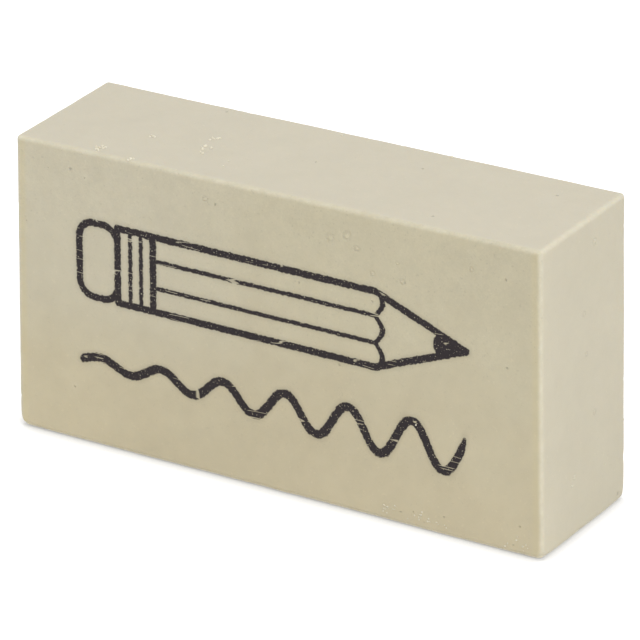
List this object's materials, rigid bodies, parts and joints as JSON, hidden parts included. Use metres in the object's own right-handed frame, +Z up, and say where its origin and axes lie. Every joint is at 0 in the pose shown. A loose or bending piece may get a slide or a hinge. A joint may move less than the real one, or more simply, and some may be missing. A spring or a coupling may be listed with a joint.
{
  "type": "soap eraser",
  "caption": "Small rectangular block of soft, dull beige rubber for rubbing out pencil, with softly rounded edges and a flat base.",
  "frame": {"origin": "centre of the flat base, which is the bottom centre of the block's box", "axes": "+X along the block's length, towards its taller end; -Y out of the front face that may carry a print; +Z up, from the base to the top"},
  "size_m": [0.0512, 0.0142, 0.0276],
  "materials": {
    "soap_rubber": "matte"
  },
  "bodies": {
    "root": {"eraser_block": "soap_rubber"}
  },
  "joints": []
}
